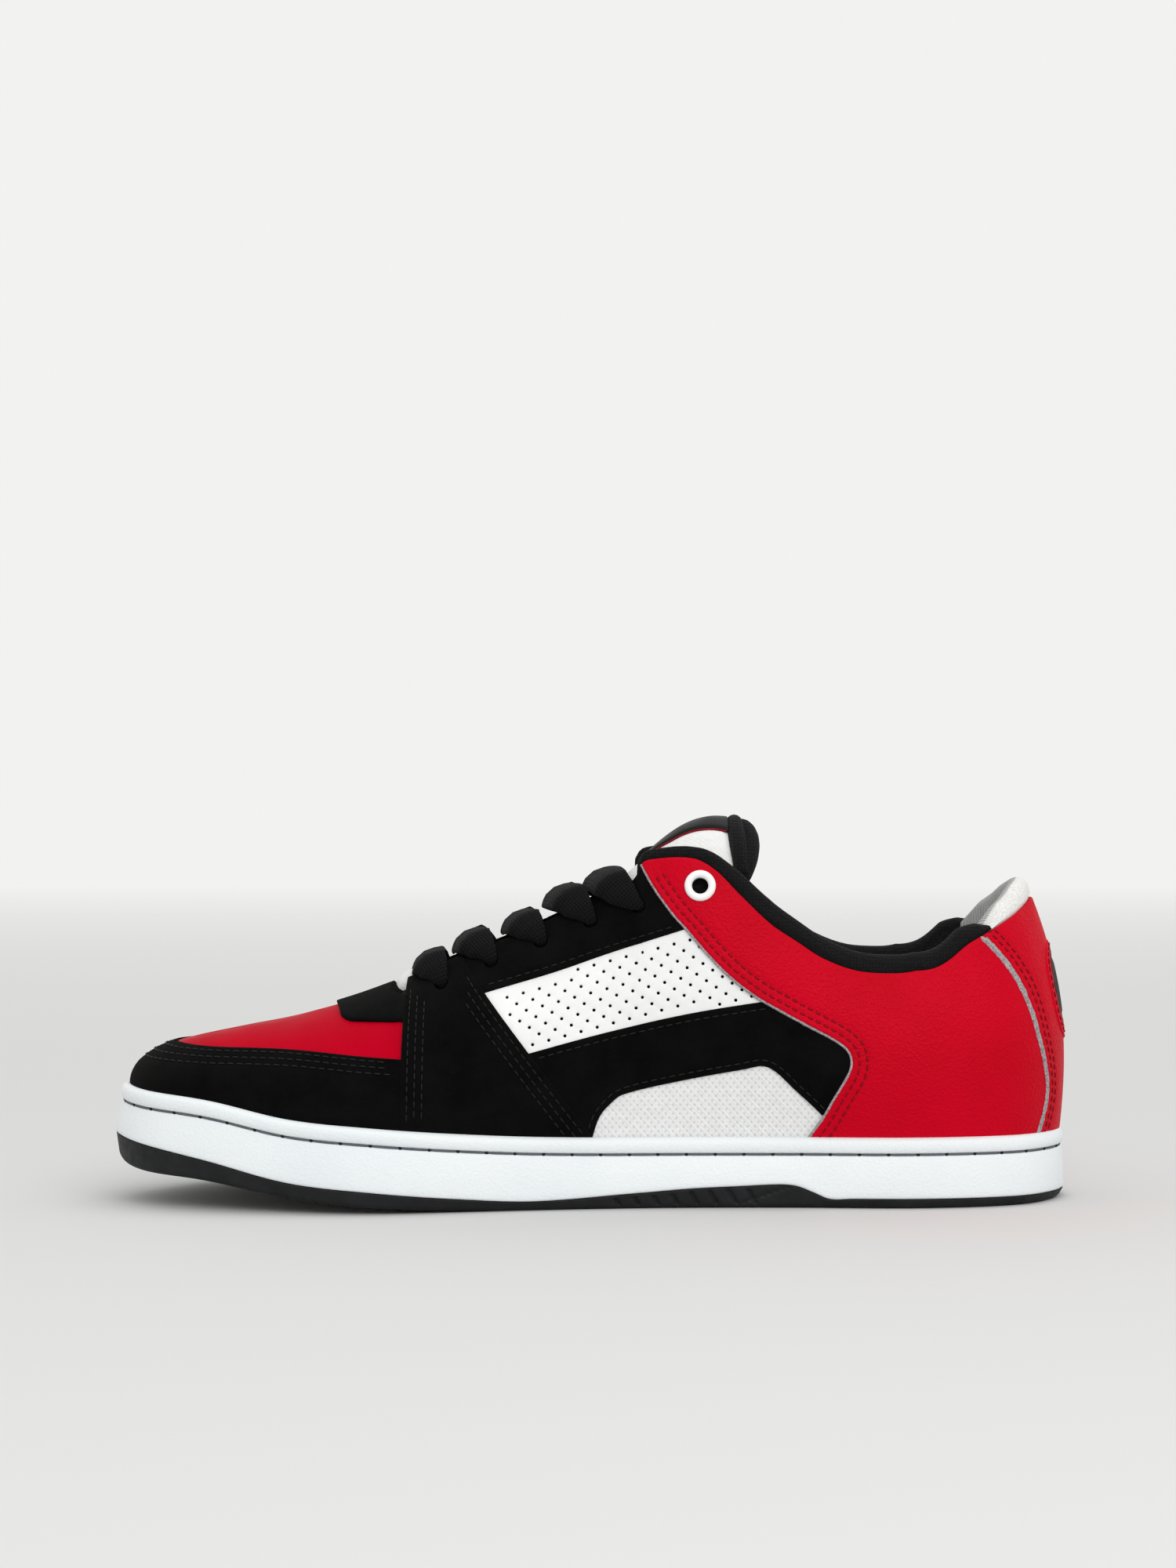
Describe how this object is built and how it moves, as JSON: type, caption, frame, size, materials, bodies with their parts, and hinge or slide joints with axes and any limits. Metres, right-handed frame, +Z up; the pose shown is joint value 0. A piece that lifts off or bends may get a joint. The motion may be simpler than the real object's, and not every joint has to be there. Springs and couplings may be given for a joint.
{
  "type": "low-top lace-up cupsole shoe",
  "caption": "Right low-top lace-up shoe: suede, leather and mesh upper with padded collar and tongue on a stitched rubber cupsole.",
  "frame": {"origin": "on the ground under the middle of the shoe's length and width", "axes": "+X from toe to heel, -Y towards the inner (medial) side, +Z up"},
  "size_m": [0.3007, 0.1064, 0.1198],
  "materials": {
    "outsole_rubber": "matte dark rubber with arch grooves",
    "sidewall_rubber": "fine pebbled cool white rubber",
    "sidewall_thread": "grey stitching thread",
    "eva_foam": "moulded foam",
    "board": "fibre board",
    "insole_foam": "brushed fabric over foam",
    "white_lining": "tricot lining",
    "black_lining": "knit lining",
    "collar_padding": "open foam, hidden",
    "collar_knit": "black knit",
    "white_tab_fabric": "fuzzy white textile",
    "black_suede": "black suede",
    "red_smooth_leather": "smooth leather",
    "red_grain_leather": "pebbled leather",
    "white_perforated_leather": "smooth perforated leather",
    "white_mesh": "dimpled knit mesh",
    "patch_rubber": "moulded patch",
    "white_plastic": "moulded ring",
    "tongue_mesh": "white mesh",
    "label_tape": "satin woven tape",
    "lace_weave": "flat woven lace",
    "aglet_plastic": "plastic tip"
  },
  "bodies": {
    "shoe": {"outsole": "outsole_rubber", "midsole_cup": "sidewall_rubber", "sidewall_stitching": "sidewall_thread", "midsole_cushion": "eva_foam", "lasting_board": "board", "insole_forefoot": "insole_foam", "toe_puff": "board", "heel_counter": "board", "vamp_lining": "white_lining", "quarter_lining_medial": "black_lining", "quarter_lining_lateral": "black_lining", "heel_lining": "black_lining", "collar_foam_medial": "collar_padding", "collar_foam_lateral": "collar_padding", "collar_binding": "collar_knit", "heel_tab": "white_tab_fabric", "toe_rand": "black_suede", "toe_vamp": "red_smooth_leather", "throat_tab": "black_suede", "forefoot_saddle_medial": "black_suede", "forefoot_saddle_lateral": "black_suede", "eyestay_medial": "black_suede", "eyestay_lateral": "black_suede", "quarter_window_medial": "white_perforated_leather", "quarter_window_lateral": "white_perforated_leather", "side_stripe_medial": "black_suede", "side_stripe_lateral": "black_suede", "mesh_vent_medial": "white_mesh", "mesh_vent_lateral": "white_mesh", "heel_quarter_medial": "red_grain_leather", "heel_quarter_lateral": "red_grain_leather", "backstay": "red_grain_leather", "heel_patch": "patch_rubber", "top_eyelet_medial": "white_plastic", "top_eyelet_lateral": "white_plastic", "tongue_base": "tongue_mesh", "lace": "lace_weave", "aglets": "aglet_plastic"},
    "tongue_flap": {"tongue_top": "tongue_mesh", "tongue_binding": "collar_knit", "tongue_label": "label_tape"},
    "insole_lift": {"insole_heel": "insole_foam"}
  },
  "joints": [
    {"name": "tongue_fold", "type": "hinge", "parent": "shoe", "child": "tongue_flap", "pos_m": [0.015, 0, 0.101], "axis": [0, -1, 0], "range_deg": [-5, 35], "stiffness_Nm_per_rad": 0.06},
    {"name": "insole_heel_lift", "type": "hinge", "parent": "shoe", "child": "insole_lift", "pos_m": [-0.045, 0, 0.0195], "axis": [0, -1, 0], "range_deg": [0, 12]}
  ]
}
